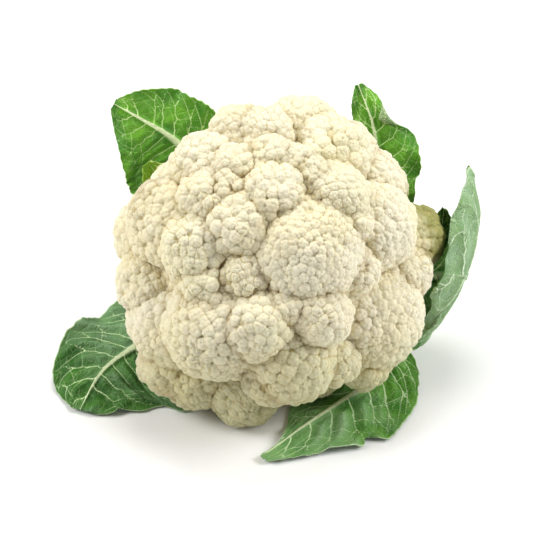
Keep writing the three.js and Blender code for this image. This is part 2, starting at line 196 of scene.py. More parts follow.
# Each leaf: its rib, the way its blade faces at either end, the widths of both sides along it, how far the
# right and the left side are raised and curl, in degrees, and the wave of its rims by height, count and turn
LEAVES = {
    "leaf_upper_left": {
        "rib": [
            (-11, 12, -72), (-24, 33, -62), (-38, 55, -50), (-55, 71, -42), (-71, 81, -38), (-89, 91, -37),
        ],
        "face": [(0.3, -0.3, 1), (0.1, -0.1, 1)],
        "right": [0, 0, 7, 15, 21, 24, 24, 21, 13, 2],
        "left": [0, 0, 8, 20, 32, 38, 36, 28, 16, 3],
        "raise": (-4, -6), "curl": (10, -14), "wave": (2.2, 3.2, 0.4),
    },
    "leaf_upper_left_inner": {
        "rib": [(-16, 9, -62), (-36, 22, -55), (-54, 37, -44), (-69, 57, -32)],
        "face": [(0.4, -0.2, 1), (0.1, -0.1, 1)],
        "right": [0, 0, 8, 13, 12, 1],
        "left": [0, 0, 4, 9, 11, 4],
        "raise": (4, 4), "curl": (12, 12), "wave": (0.9, 2.5, 0),
        "slim": 0.5,
    },
    "leaf_upper_right": {
        "rib": [(14, 10, -70), (36, 24, -60), (54, 41, -50), (62, 59, -43), (61, 78, -39), (52, 102, -36)],
        "face": [(-0.3, -0.2, 1), (-0.2, -0.1, 1)],
        "right": [0, 0, 8, 21, 25, 25, 22, 16, 8, 1],
        "left": [0, 0, 6, 14, 17, 16, 13, 11, 8, 1],
        "raise": (-6, 0), "curl": (-12, 8), "wave": (2.6, 3.6, 0.2),
    },
    "leaf_right": {
        "rib": [(16, -3, -70), (50, -7, -64), (85, -9, -54), (109, -9, -34), (111, -8, -13), (98, -7, 2)],
        "face": [(0, 0, 1), (-1, 0, -0.2)],
        "right": [0, 0, 5, 12, 26, 42, 50, 45, 30, 11],
        "left": [0, 0, 2, 3, 6, 26, 58, 60, 46, 16],
        "raise": (20, -25), "curl": (34, 40), "wave": (1.6, 2.4, 0.1),
    },
    "leaf_right_inner": {
        "rib": [(17, 4, -62), (48, 6, -54), (80, 9, -45), (98, 17, -36), (101, 30, -28)],
        "face": [(-0.2, -0.2, 1), (-0.4, -0.4, 1)],
        "right": [0, 0, 4, 7, 8, 6, 1],
        "left": [0, 0, 4, 6, 7, 6, 1],
        "raise": (5, 5), "curl": (10, 10), "wave": (0.8, 2, 0.3),
        "slim": 0.5,
    },
    "leaf_lower_right": {
        "rib": [
            (12, -14, -70), (42, -38, -60), (66, -56, -44), (62, -68, -27),
            (42, -80, -11), (19, -94, 5), (-3, -109, 21),
        ],
        "face": [(-0.2, 0.4, 1), (0, 0.85, 0.5)],
        "right": [0, 0, 3, 6, 13, 20, 23, 20, 2, 1],
        "left": [0, 0, 5, 10, 18, 28, 34, 26, 14, 3],
        "raise": (-20, -4), "curl": (-4, -10), "wave": (2, 3, 0.6),
    },
    "leaf_lower_left": {
        "rib": [
            (-12, -9, -72), (-36, -26, -62), (-60, -41, -51),
            (-80, -52, -40), (-96, -65, -27), (-106, -85, -11),
        ],
        "face": [(0.2, 0.5, 0.9), (0.1, 0.8, 0.65)],
        "right": [0, 0, 9, 23, 30, 32, 33, 30, 21, 5],
        "left": [0, 0, 10, 34, 50, 56, 54, 46, 36, 10],
        "raise": (-2, -4), "curl": (-12, -10), "wave": (2.2, 3, 0.1),
    },
}


def to_world(points):
    """Points of the head's frame, in millimetres, as metres in the model's frame."""
    return points * MM @ TO_WORLD + HEAD_CENTRE


def smoothstep(low, high, value):
    share = np.clip((value - low) / (high - low), 0, 1)
    return share * share * (3 - 2 * share)


def along(values, t):
    """Smooth values at t from 0 to 1 through evenly spaced values."""
    values = np.asarray(values, float)
    last = len(values) - 1
    i = np.minimum((t * last).astype(int), last - 1)
    f = (t * last - i).reshape((-1,) + (1,) * (values.ndim - 1))
    a, b, c, d = (values[np.clip(i + k, 0, last)] for k in (-1, 0, 1, 2))
    return b + 0.5 * f * (c - a + f * (2 * a - 5 * b + 4 * c - d + f * (3 * (b - c) + d - a)))


def vertices_of(piece):
    places = np.empty(len(piece.data.vertices) * 3)
    piece.data.vertices.foreach_get("co", places)
    return places.reshape(-1, 3)


def place_vertices(piece, places):
    piece.data.vertices.foreach_set("co", np.ascontiguousarray(places, dtype=np.float32).ravel())
    piece.data.update()


def paint(piece, name, values):
    """A value at each vertex that the piece's material reads by name."""
    layer = piece.data.attributes.new(name, "FLOAT", "POINT")
    layer.data.foreach_set("value", np.ascontiguousarray(values, dtype=np.float32))


def only(piece):
    bpy.ops.object.select_all(action="DESELECT")
    piece.select_set(True)
    bpy.context.view_layer.objects.active = piece


def finish_piece(piece, node, slot, *materials):
    for material in materials:
        piece.data.materials.append(material)
    only(piece)
    bpy.ops.object.shade_smooth()
    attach(piece, "root")
    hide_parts(node)


# Florets


def unit(vectors):
    return vectors / np.linalg.norm(vectors, axis=-1, keepdims=True)


def even_directions(count, turn, crowding=1.0):
    """Directions spread over a ball along a spiral, closer together round its pole where they crowd."""
    i = np.arange(count)
    height = 1 - 2 * ((i + 0.5) / count) ** crowding
    ring = np.sqrt(1 - height * height)
    angle = i * GOLDEN_ANGLE + turn * 2 * math.pi
    return np.stack([ring * np.cos(angle), ring * np.sin(angle), height], 1)


def lobed_reach(directions, knobs):
    """How far a ray from the middle of a floret of radius 1 runs before it leaves the last of its knobs."""
    ahead = KNOB["seat"] * directions @ knobs.T
    inside = ahead**2 - KNOB["seat"] ** 2 + KNOB["size"] ** 2
    reach = np.where(inside < 0, KNOB["seat"], ahead + np.sqrt(np.maximum(inside, 0)))
    return reach.max(1)


def floret_plan(crest, crest_radius, turn, edge):
    """Where a floret sits, and how far it reaches in any direction with its knobs."""
    radius = FLORET_SPREAD * crest_radius
    crest = np.array(crest, float)
    pole = unit(crest / CURD_HALF**2)
    knobs = even_directions(round(KNOB["crowd"] * radius**2 / KNOB["width"] ** 2) + KNOB["fewest"], turn)
    middle = lobed_reach(even_directions(PROBE_DIRECTIONS, 0), knobs).mean()

    def reach(directions):
        return radius * (middle + KNOB_SHARE * (lobed_reach(directions, knobs) - middle))

    return {
        "centre": crest + pole * (crest_radius - radius), "radius": radius, "pole": pole,
        "reach": reach, "edge": edge, "speckled": SPECKLED["proud"],
    }


def core_plan():
    """The branches in the middle of the head, seen only in the gaps between florets."""

    def reach(directions):
        half = np.empty_like(directions)
        half[:, 0], half[:, 1] = CORE_HALF["across"], CORE_HALF["tall"]
        half[:, 2] = np.where(directions[:, 2] > 0, CORE_HALF["front"], CORE_HALF["back"])
        return 1 / np.linalg.norm(directions / half, axis=1)

    return {
        "centre": np.zeros(3), "radius": CORE_HALF["tall"], "pole": np.array((0.0, 0.0, 1.0)),
        "reach": reach, "edge": BACK_EDGE, "speckled": SPECKLED["core"],
    }


def on_dome(across, up, radius, proud):
    """Where the crest of a floret of the face lies."""
    half = CURD_HALF + proud - radius
    left = 1 - (across / half[0]) ** 2 - (up / half[1]) ** 2
    return across, up, half[2] * math.sqrt(max(0, left))


def curd_plans():
    plans = []
    for i, (across, up, radius, proud) in enumerate(FACE_FLORETS):
        crest = on_dome(across, up, radius, proud)
        plans.append(floret_plan(crest, radius, i * GOLDEN_TURN % 1, FINE_EDGE))
        if proud < 0:
            plans[-1]["speckled"] = SPECKLED["sunk"]
    for i, (across, up, out, radius) in enumerate(SIDE_FLORETS):
        plans.append(floret_plan((across, up, out), radius, (i + SIDE_TURNS) * GOLDEN_TURN % 1, FINE_EDGE))
    for i in range(RIM["count"]):
        angle = 2 * math.pi * (i + 0.5) / RIM["count"]
        crest = (RIM["across"] * math.cos(angle), RIM["tall"] * math.sin(angle), RIM["out"])
        plans.append(floret_plan(crest, RIM["radius"], (i + RIM["turns"]) * GOLDEN_TURN % 1, BACK_EDGE))
    return plans + [core_plan()]


def depth_inside(points, plan):
    """How deep points lie inside a floret; negative outside."""
    away = points - plan["centre"]
    distance = np.linalg.norm(away, axis=1)
    depth = np.full(len(points), FAR_OUTSIDE)
    near = distance < NEAR_FLORET["share"] * plan["radius"] + NEAR_FLORET["room"]
    if near.any():
        depth[near] = plan["reach"](away[near] / distance[near, None]) - distance[near]
    return depth


def deepest(points, plans):
    depth = np.full(len(points), FAR_OUTSIDE)
    for plan in plans:
        depth = np.maximum(depth, depth_inside(points, plan))
    return depth


def turned_to(directions, pole):
    """Directions spread about +z, spread about another pole instead."""
    side = unit(np.cross(SIDEWAYS, pole))
    return directions @ np.stack([side, np.cross(pole, side), pole])


def tree_of(points):
    tree = kdtree.KDTree(len(points))
    for i, point in enumerate(points):
        tree.insert(point, i)
    tree.balance()
    return tree


def near_points(tree, points, count):
    """Which points of a tree are nearest to each of the points, and how far away they are."""
    found = [tree.find_n(point, count) for point in points.tolist()]
    which = np.array([[hit[1] for hit in hits] for hits in found])
    away = np.array([[hit[2] for hit in hits] for hits in found])
    return which, away


def eased_apart(points, room):
    """Directions that push each other apart until each has about so much room."""
    for _ in range(EASE["rounds"]):
        which, away = near_points(tree_of(points), points, EASE["neighbours"] + 1)
        beside, away = which[:, 1:], away[:, 1:] + TOUCHING
        push = np.maximum(1 - away / (EASE["room"] * room[:, None]), 0)
        shift = ((points[:, None] - points[beside]) / away[..., None] * push[..., None]).sum(1)
        points = unit(points + EASE["step"] * room[:, None] * shift)
    return points


def relief(plan, skin, pattern, random):
    """Heights of one pattern of beads over a floret's skin, and how near each point is to a crease."""
    finest, coarser = pattern["coarse"]
    spacing = pattern["spacing"] * (finest + coarser * random.random())
    count = round(4 * math.pi * plan["radius"] ** 2 / (BEAD["packing"] * spacing**2))
    count = max(BEAD["fewest"], count)
    crowding = pattern["crowding"]
    spread = even_directions(count, random.random(), crowding)
    density = ((1 - spread[:, 2]) / 2) ** (1 / crowding - 1) / crowding
    width = spacing / np.sqrt(density)
    shift = random.normal(0, 1, (count, 3)) * (pattern["jitter"] * width / plan["radius"])[:, None]
    directions = eased_apart(unit(turned_to(spread, plan["pole"]) + shift), width / plan["radius"])
    seeds = directions * plan["reach"](directions)[:, None]
    size = pattern["size"] * width * (BEAD["least"] + BEAD["varies"] * random.random(count))
    nearest, away = near_points(tree_of(seeds), skin, BEAD["near"])
    tall = np.sqrt(np.maximum(size[nearest] ** 2 - away**2, 0))
    tall.sort(axis=1)
    top, next_down = tall[:, -1], tall[:, -2]
    crease = 1 - smoothstep(0, BEAD["crease"] * spacing, top - next_down)
    return pattern["height"] * (top - BEAD["ground"] * spacing), crease


def painted_shade_share(places):
    """Painted shade, tinted by green light off the leaves: low on the face, behind it, and far right."""
    across, up, out = places.T
    low, behind, beside = PAINTED_SHADE["low"], PAINTED_SHADE["behind"], PAINTED_SHADE["beside"]
    right = smoothstep(*beside["across"], across) * smoothstep(*beside["up"], up)
    green = (
        low["share"] * (1 - smoothstep(*low["up"], up))
        + behind["share"] * (1 - smoothstep(*behind["out"], out))
        + beside["share"] * (right * (1 - smoothstep(*beside["out"], out)))
    )
    return np.clip(green, 0, 1)


def nearness(points, others, reach):
    """How near points are to other florets: 1 where they touch, falling off outside."""
    return np.exp(np.minimum(deepest(points, others), 0) / reach)


def refined_ball(plan, others):
    """A ball of radius 1 whose faces are cut finer where the floret shows."""
    bpy.ops.object.select_all(action="DESELECT")
    detail = BALL_DETAIL["large" if plan["radius"] > LARGE_FLORET else "small"]
    bpy.ops.mesh.primitive_ico_sphere_add(subdivisions=detail, radius=1)
    piece = bpy.context.object
    mesh = piece.data
    corners = np.empty(len(mesh.polygons) * 3, dtype=np.int32)
    mesh.polygons.foreach_get("vertices", corners)
    middles = unit(vertices_of(piece)[corners.reshape(-1, 3)].mean(1))
    skin = middles * plan["reach"](middles)[:, None] + plan["centre"]
    shows = deepest(skin, others) < HIDDEN_DEPTH
    bpy.context.tool_settings.mesh_select_mode = (False, False, True)
    mesh.vertices.foreach_set("select", np.zeros(len(mesh.vertices), dtype=bool))
    mesh.edges.foreach_set("select", np.zeros(len(mesh.edges), dtype=bool))
    mesh.polygons.foreach_set("select", shows)
    cuts = math.ceil(ICOSAHEDRON_EDGE * plan["radius"] / 2 ** (detail - 1) / plan["edge"]) - 1
    if cuts > 0 and shows.any():
        bpy.ops.object.mode_set(mode="EDIT")
        bpy.ops.mesh.subdivide(number_cuts=cuts)
        bpy.ops.object.mode_set(mode="OBJECT")
    return piece


def model_floret(plan, others, number):
    """A ball, made finer where it shows, with its knobs, lobes and grains."""
    random = np.random.default_rng(FLORET_SEED + number)
    piece = refined_ball(plan, others)
    directions = unit(vertices_of(piece))
    reach = plan["reach"](directions)
    skin = directions * reach[:, None]
    lobe_height, lobe_crease = relief(plan, skin, LOBES, random)
    grain_height, grain_crease = relief(plan, skin, GRAINS, random)
    fill = CREVICE_FILL["height"] * nearness(skin + plan["centre"], others, CREVICE_FILL["reach"])
    reach = reach + lobe_height + grain_height + fill
    places = directions * reach[:, None] + plan["centre"]
    # Where the material paints shade: the creases between lobes and grains, and the crevices between florets
    paint(piece, "grain_crease", grain_crease)
    paint(piece, "lobe_crease", lobe_crease)
    paint(piece, "crevice", nearness(places, others, CREVICE_REACH))
    paint(piece, "tone", np.full(len(places), random.random()))
    paint(piece, "speckled", np.full(len(places), plan["speckled"]))
    # The share of painted shade on the curd, which its material reads as green
    paint(piece, "green", painted_shade_share(places))
    world = to_world(places)
    world[:, 2] = np.maximum(world[:, 2], 0.0)
    place_vertices(piece, world)
    return piece


def join(pieces, name):
    bpy.ops.object.select_all(action="DESELECT")
    for piece in pieces:
        piece.select_set(True)
    bpy.context.view_layer.objects.active = pieces[0]
    if len(pieces) > 1:
        bpy.ops.object.join()
    pieces[0].name = name
    return pieces[0]


def model_curd(material):
    """All the florets, joined in bunches that stay under the most triangles of a piece."""
    plans = curd_plans()
    bunches, bunch, triangles = [], [], 0
    for number, plan in enumerate(plans):
        others = []
        for other in plans:
            apart = np.linalg.norm(plan["centre"] - other["centre"])
            if other is not plan and apart < plan["radius"] + other["radius"] + NEIGHBOUR_ROOM:
                others.append(other)
        floret = model_floret(plan, others, number)
        count = sum(len(face.vertices) - 2 for face in floret.data.polygons)
        if bunch and triangles + count > MOST_TRIANGLES:
            bunches.append(bunch)
            bunch, triangles = [], 0
        bunch.append(floret)
        triangles += count
    bunches.append(bunch)
    for number, bunch in enumerate(bunches):
        finish_piece(join(bunch, f"florets_{number + 1}"), "curd", "curd", material)


# Leaves


def half_width(leaf, t, side):
    stem = leaf.get("slim", 1) * along(STEM_WIDTH, t)
    listed = np.where(side > 0, along(leaf["right"], t), along(leaf["left"], t))
    return np.maximum(listed, 0) + stem + WING * (1 - t)


def leaf_places(leaf, t, side, reach, width, lift):
    """Points of a leaf's middle surface, in the head's frame, each lifted off it by so much."""
    rib = along(leaf["rib"], t)
    ahead, back = np.minimum(t + RIB_STEP, 1), np.maximum(t - RIB_STEP, 0)
    forward = unit(along(leaf["rib"], ahead) - along(leaf["rib"], back))
    facing = np.array(leaf["face"][0]) + np.subtract(*leaf["face"][::-1]) * t[:, None]
    up = unit(facing - forward * (facing * forward).sum(1, keepdims=True))
    across = np.cross(forward, up)
    raised = np.radians(np.where(side > 0, *leaf["raise"]))
    bend = np.radians(np.where(side > 0, *leaf["curl"])) / width
    turned = raised + bend * reach
    out = (np.sin(turned) - np.sin(raised)) / bend
    rise = (np.cos(raised) - np.cos(turned)) / bend
    wave_height, waves, wave_turn = leaf["wave"]
    waved = smoothstep(*WAVED, t) * (reach / width) ** 2
    ripple = np.sin(2 * math.pi * (waves * t + wave_turn + np.where(side > 0, 0, LEFT_WAVE_TURN)))
    rise = rise + wave_height * waved * ripple + lift
    points = rib + across * (side * out)[:, None] + up * rise[:, None]
    upward = TO_WORLD[:, 2]
    height = HEAD_CENTRE[2] / MM + points @ upward - GROUND_ROOM
    lifted = 0.5 * (height + np.sqrt(height**2 + GROUND_EASE**2))
    return points + upward * (lifted - height)[:, None]


def vein_lines(leaf, length, random):
    """The side veins of a leaf laid flat, as lines: the ends, half widths there, and if it is a main one."""
    lines = []

    def kinked(share):
        return random.normal(0, VEIN_KINK, len(share)) * (share > share[0])

    def vein(share, t, side, start, end, main):
        t = np.clip(t, 0, 1)
        width = half_width(leaf, t, np.full(len(t), side))
        points = np.stack([side * share * width, t * length], 1)
        halves = np.linspace(start, end, len(points))
        for i in range(len(points) - 1):
            lines.append((points[i], points[i + 1], halves[i], halves[i + 1], main))

    def vein_with_forks(side, number, count):
        step = number + VEIN["stagger"] * (side > 0) + VEIN["scatter"] * random.random()
        start = VEIN["first"] + VEIN["spread"] * step / count
        run = VEIN_RUN["length"] * (1 - VEIN_RUN["loss"] * start) + VEIN_RUN["scatter"] * random.random()
        fork = FORK["from"] + FORK["scatter"] * random.random()
        share = np.linspace(0, fork, VEIN["points"])
        t = start + run * share ** VEIN["curve"] + kinked(share)
        half = VEIN_HALF["start"] * (1 - VEIN_HALF["loss"] * start) * leaf.get("vein_scale", 1)
        vein(share, t, side, half, VEIN_HALF["end"] * half, True)
        for lean in (-1, 1):
            share_on = np.linspace(fork, FORK["to"], FORK["points"])
            leaning = lean * (FORK_RUN["lean"] + FORK_RUN["scatter"] * random.random())
            lead = run * FORK_RUN["length"] + leaning
            t_on = t[-1] + lead * (share_on - fork) + kinked(share_on)
            vein(share_on, t_on, side, FORK["start"] * half, FORK["end"] * half, lean > 0)
        for k, lean in TWIG_PLACES:
            share_off = np.linspace(share[k], min(share[k] + TWIG["reach"], TWIG["to"]), TWIG["points"])
            t_off = t[k] + lean * TWIG["lean"] * (share_off - share[k]) + kinked(share_off)
            vein(share_off, t_off, side, TWIG["start"] * half, TWIG["end"] * half, False)

    count = leaf.get("veins", VEIN["count"])
    for side in (-1, 1):
        for number in range(count):
            vein_with_forks(side, number, count)
    return lines


def vein_masks(flat, lines):
    """How deep each flat point lies inside a vein, and how far it is from the nearest main one."""
    inside = np.full(len(flat), NO_VEIN)
    clear = np.full(len(flat), NO_MAIN_VEIN)
    for a, b, half_a, half_b, main in lines:
        low, high = np.minimum(a, b) - VEIN_NEAR, np.maximum(a, b) + VEIN_NEAR
        near = np.flatnonzero(((flat > low) & (flat < high)).all(1))
        if not len(near):
            continue
        line = b - a
        share = np.clip((flat[near] - a) @ line / (line @ line + SHORTEST_LINE), 0, 1)
        away = np.linalg.norm(flat[near] - a - share[:, None] * line, axis=1)
        half = half_a + (half_b - half_a) * share
        inside[near] = np.maximum(inside[near], half - away)
        if main:
            clear[near] = np.minimum(clear[near], away)
    return inside, clear


def toothed_rim(leaf, t, side, width, blade):
    """How far the rim of a leaf stands out at its teeth, and in at its notches."""
    teeth, tooth_depth = leaf["teeth"]
    uneven = np.sin(TOOTH_SPACING["along"] * t + TOOTH_SPACING["side"] * side)
    saw = (teeth * t + TOOTH_SPACING["shift"] * uneven) % 1
    outline = np.where(saw < TOOTH["rise"], saw / TOOTH["rise"], (1 - saw) / TOOTH["fall"]) - 0.5
    rim = tooth_depth * blade * np.minimum(width / TOOTH["full_width"], 1) * outline
    varied = np.sin(TOOTH_DEPTH["along"] * t + TOOTH_DEPTH["side"] * side) ** 2
    rim = rim * (TOOTH_DEPTH["least"] + TOOTH_DEPTH["varies"] * varied)
    for notch_side, at, depth, spread in leaf["notches"]:
        rim = rim - depth * (side == notch_side) * np.exp(-(((t - at) / spread) ** 2))
    return rim


def thicken(piece, half, upper, under):
    """Gives a blade its thickness, half of it at each vertex, and its two faces their finish."""
    group = piece.vertex_groups.new(name="thickness")
    for i, share_of_most in enumerate(half / half.max()):
        group.add([i], share_of_most, "REPLACE")
    piece.data.materials.append(upper)
    piece.data.materials.append(under)
    only(piece)
    solidify = piece.modifiers.new("thickness", "SOLIDIFY")
    solidify.thickness = 2 * half.max() * MM
    solidify.offset = 0
    solidify.vertex_group = "thickness"
    solidify.material_offset = 1
    bpy.ops.object.modifier_apply(modifier="thickness")
    piece.vertex_groups.clear()


def map_blade(piece, flat):
    """The leaf laid flat is the map that its finish is drawn on."""
    blade_map = piece.data.uv_layers[0]
    blade_map.name = "blade"
    loops = np.empty(len(piece.data.loops), dtype=np.int32)
    piece.data.loops.foreach_get("vertex_index", loops)
    blade_map.data.foreach_set("uv", (flat[loops] / MAP_SIZE).astype(np.float32).ravel())


def model_leaf(name, leaf, upper, under, number):
    """A grid, bent to the leaf's blade, with its rib, veins, swells, folds and toothed rim."""
    random = np.random.default_rng(LEAF_SEED + number)
    steps = np.linspace(0, 1, LEAF_STEPS)
    length = np.linalg.norm(np.diff(along(leaf["rib"], steps), axis=0), axis=1).sum()
    widest = max(half_width(leaf, steps, np.full(LEAF_STEPS, side)).max() for side in (-1, 1))
    bpy.ops.object.select_all(action="DESELECT")
    bpy.ops.mesh.primitive_grid_add(
        x_subdivisions=2 * math.ceil(widest / LEAF_EDGE), y_subdivisions=math.ceil(length / LEAF_EDGE), size=2
    )
    piece = bpy.context.object
    piece.name = name + "_blade"
    places = vertices_of(piece)
    share, t = np.abs(places[:, 0]), (places[:, 1] + 1) / 2
    side = np.where(places[:, 0] > 0, 1.0, -1.0)
    width = half_width(leaf, t, side)
    stem = leaf.get("slim", 1) * along(STEM_WIDTH, t)
    thick = leaf.get("slim", 1) * along(STEM_THICK, t)
    blade = smoothstep(*BLADE, t)
    rim = toothed_rim(leaf, t, side, width, blade)
    reach = share * width + rim * share ** TOOTH["rim_power"]
    flat = np.stack([side * reach, t * length], 1)

    inside_vein, clear = vein_masks(flat, vein_lines(leaf, length, random))
    rib = 1 - smoothstep(*RIB_EDGE, reach / (stem * along(RIB_SHARE, t)))
    vein = smoothstep(*VEIN_EDGE, inside_vein) * (1 - rib)
    clear = np.minimum(clear, np.maximum(reach - stem, 0))
    pillow = 1 - np.exp(-((clear / PILLOW_REACH) ** 2))
    wide, layer = FOLDS["width"], FOLDS["layer"] * number
    folds = np.array([noise.noise((x / wide, y / wide, layer)) for x, y in flat])
    crimp_height, crimps = leaf["crimp"]
    crimp = np.sin(2 * math.pi * (crimps * t + CRIMPED["turn"] * side))
    lift = blade * (
        leaf["pillow"] * pillow
        + leaf.get("folds", FOLDS["height"]) * folds * share
        + crimp_height * crimp * smoothstep(CRIMPED["from"], 1, share)
        - VEIN_RIDGE["sunk"] * vein
    )
    half = BLADE_HALF * (1 - THIN_RIM["loss"] * smoothstep(THIN_RIM["from"], 1, share))
    half = half + VEIN_RIDGE["thicker"] * vein
    half = half + thick * np.sqrt(np.maximum(0, 1 - (reach / stem) ** 2))
    place_vertices(piece, to_world(leaf_places(leaf, t, side, reach, width, lift)))

    bloom = leaf.get("bloom", EVEN_BLOOM)
    # Waxy bloom, laid heavier where light falls on the leaf as a painted highlight
    bloom_and_highlight = smoothstep(bloom["none"], bloom["full"], t) * (1 - BLOOM_LOSS * (side == -bloom["side"]))
    paint(piece, "inside_vein", inside_vein)
    paint(piece, "rib", leaf.get("rib_shows", 1) * rib)
    paint(piece, "pillow", pillow * blade)
    paint(piece, "margin", share)
    paint(piece, "bloom", bloom_and_highlight)
    map_blade(piece, flat)
    thicken(piece, half, upper, under)
    places = vertices_of(piece)
    places[:, 2] = np.maximum(places[:, 2], LOWEST_LEAF * MM)
    place_vertices(piece, places)
    finish_piece(piece, name, "leaf")


# Stalk


def model_stalk(material):
    """A grid, rolled up round the stalk's axis, ridged where it branches, with a rough side and a cut end."""
    bpy.ops.object.select_all(action="DESELECT")
    bpy.ops.mesh.primitive_grid_add(
        x_subdivisions=STALK_GRID["around"], y_subdivisions=STALK_GRID["along"], size=2
    )
    piece = bpy.context.object
    piece.name = "cut_stalk"
    places = vertices_of(piece)
    angle, share = math.pi * places[:, 0], (places[:, 1] + 1) / 2
    profile = along(STALK_PROFILE, share)
    radius, out = np.maximum(profile[:, 0], 0), profile[:, 1]
    branch = smoothstep(BRANCHES["from"], BRANCHES["to"], out)
    radius = radius * (1 + BRANCHES["depth"] * branch * np.cos(BRANCHES["count"] * angle))
    around = np.stack([np.cos(angle), np.sin(angle)], 1)

    def roughness(grain):
        fine, length = grain["fineness"], grain["length"]
        return np.array([noise.noise((fine * c, fine * s, o / length)) for (c, s), o in zip(around, out)])

    lumps, fibres = roughness(LUMPS), roughness(FIBRES)
    side = smoothstep(*ROUGH_SIDE["radius"], radius) * (1 - smoothstep(*ROUGH_SIDE["out"], out))
    radius = radius + side * (LUMPS["height"] * lumps + FIBRES["height"] * fibres)
    end = 1 - smoothstep(*CUT_END["out"], out)
    flat = around * radius[:, None]
    wide, layer = CUT_END["width"], CUT_END["layer"]
    dish = CUT_END["dish"] * np.array([noise.noise((x / wide, y / wide, layer)) for x, y in flat])
    world = to_world(np.column_stack([flat, out + end * dish]))
    world[:, 2] = np.maximum(world[:, 2], 0.0)
    place_vertices(piece, world)
    paint(piece, "cut_end", end)
    paint(piece, "middle", radius / STALK_RADIUS)
    paint(piece, "fibres", fibres)
    paint(piece, "up_stalk", (out - STALK_END) / STALK_SHADING)
    only(piece)
    bpy.ops.object.mode_set(mode="EDIT")
    bpy.ops.mesh.select_all(action="SELECT")
    bpy.ops.mesh.remove_doubles(threshold=SAME_PLACE * MM)
    bpy.ops.mesh.normals_make_consistent(inside=False)
    bpy.ops.object.mode_set(mode="OBJECT")
    finish_piece(piece, "stalk", "stalk", material)


# Finishes


def feed(links, socket, value):
    """A socket takes another node's output, or a plain value."""
    if isinstance(value, bpy.types.NodeSocket):
        links.new(value, socket)
    else:
        socket.default_value = value


class Finish:
    """One material, or one shared effect, and the nodes that its pattern is made of."""

    def __init__(self, tree):
        self.nodes, self.links = tree.nodes, tree.links

    def attribute(self, name):
        node = self.nodes.new("ShaderNodeAttribute")
        node.attribute_name = name
        return node.outputs["Fac"]

    def place(self):
        return self.nodes.new("ShaderNodeTexCoord").outputs["Object"]

    def blade_map(self):
        node = self.nodes.new("ShaderNodeUVMap")
        node.uv_map = "blade"
        return node.outputs["UV"]

    def noise(self, place, scale, detail=3.0):
        node = self.nodes.new("ShaderNodeTexNoise")
        self.links.new(place, node.inputs["Vector"])
        feed(self.links, node.inputs["Scale"], scale)
        node.inputs["Detail"].default_value = detail
        return node.outputs["Fac"]

    def math(self, operation, a, b):
        node = self.nodes.new("ShaderNodeMath")
        node.operation = operation
        feed(self.links, node.inputs[0], a)
        feed(self.links, node.inputs[1], b)
        return node.outputs[0]

    def times(self, a, b):
        return self.math("MULTIPLY", a, b)

    def span(self, value, low, high, to_low=0.0, to_high=1.0):
        """A value eased from one range to another."""
        node = self.nodes.new("ShaderNodeMapRange")
        node.interpolation_type = "SMOOTHSTEP"
        feed(self.links, node.inputs["Value"], value)
        ends = {"From Min": low, "From Max": high, "To Min": to_low, "To Max": to_high}
        for socket, number in ends.items():
            feed(self.links, node.inputs[socket], number)
        return node.outputs["Result"]

    def mix(self, share, a, b):
        """One colour with a share of another."""
        node = self.nodes.new("ShaderNodeMix")
        node.data_type = "RGBA"
        feed(self.links, node.inputs["Factor"], share)
        feed(self.links, node.inputs[6], a)
        feed(self.links, node.inputs[7], b)
        return node.outputs[2]

    def bump(self, height, depth):
        node = self.nodes.new("ShaderNodeBump")
        node.inputs["Distance"].default_value = depth
        self.links.new(height, node.inputs["Height"])
        return node.outputs["Normal"]

    def effect(self, group, **values):
        """A shared effect, with this material's own values."""
        node = self.nodes.new("ShaderNodeGroup")
        node.node_tree = group
        for name, value in values.items():
            feed(self.links, node.inputs[name], value)
        return node


def new_material(name):
    """A material, the pattern that it is made of, and the sockets of its shader."""
    material = bpy.data.materials.new(name)
    material.use_nodes = True
    return material, Finish(material.node_tree), material.node_tree.nodes["Principled BSDF"].inputs


# The finest veins: how uneven their net is, the width of its lines, and its two sizes, in cells on the map
NET = {"randomness": 0.9, "line": 0.09, "large": 24.0, "small": 75.0, "small_share": 0.35}


def vein_net():
    """The finest veins: a mesh of thin lines over a leaf laid flat."""
    group = bpy.data.node_groups.new("vein_net", "ShaderNodeTree")
    group.interface.new_socket("Place", in_out="INPUT", socket_type="NodeSocketVector")
    group.interface.new_socket("Cells", in_out="INPUT", socket_type="NodeSocketFloat")
    group.interface.new_socket("Lines", in_out="OUTPUT", socket_type="NodeSocketFloat")
    finish = Finish(group)
    entry, result = group.nodes.new("NodeGroupInput"), group.nodes.new("NodeGroupOutput")
    cells = group.nodes.new("ShaderNodeTexVoronoi")
    cells.feature = "DISTANCE_TO_EDGE"
    group.links.new(entry.outputs["Place"], cells.inputs["Vector"])
    group.links.new(entry.outputs["Cells"], cells.inputs["Scale"])
    cells.inputs["Randomness"].default_value = NET["randomness"]
    lines = finish.span(cells.outputs["Distance"], 0.0, NET["line"], 1.0, 0.0)
    group.links.new(lines, result.inputs["Lines"])
    return group


CREAM = (0.83, 0.78, 0.60, 1)
CREAM_WARM = (0.82, 0.75, 0.52, 1)
CREAM_GREEN = (0.75, 0.72, 0.45, 1)
# Painted shade on the curd, tinted by green light off the leaves
PAINTED_SHADE_OLIVE = (0.30, 0.30, 0.09, 1)
# Painted shade in the creases and crevices of the curd
CREASE_TAN = (0.53, 0.43, 0.18, 1)
CREVICE_BROWN = (0.38, 0.27, 0.09, 1)
SPECK_BROWN = (0.09, 0.05, 0.02, 1)

# How strongly each mark shows on the curd, its random tone and the painted shade in its creases and
# crevices, and how sharply the creases are drawn
CURD_MARKS = {"tone": 0.3, "grain_crease": 0.85, "lobe_crease": 0.9, "crevice": 0.75}
CREASE_POWER = {"grain_crease": 1.5, "lobe_crease": 1.8, "crevice": 1.6}
SPECK = {"scale": 420, "size": 0.2, "share": 0.8, "more": 0.12}
SKIN_DEPTH = 0.0003


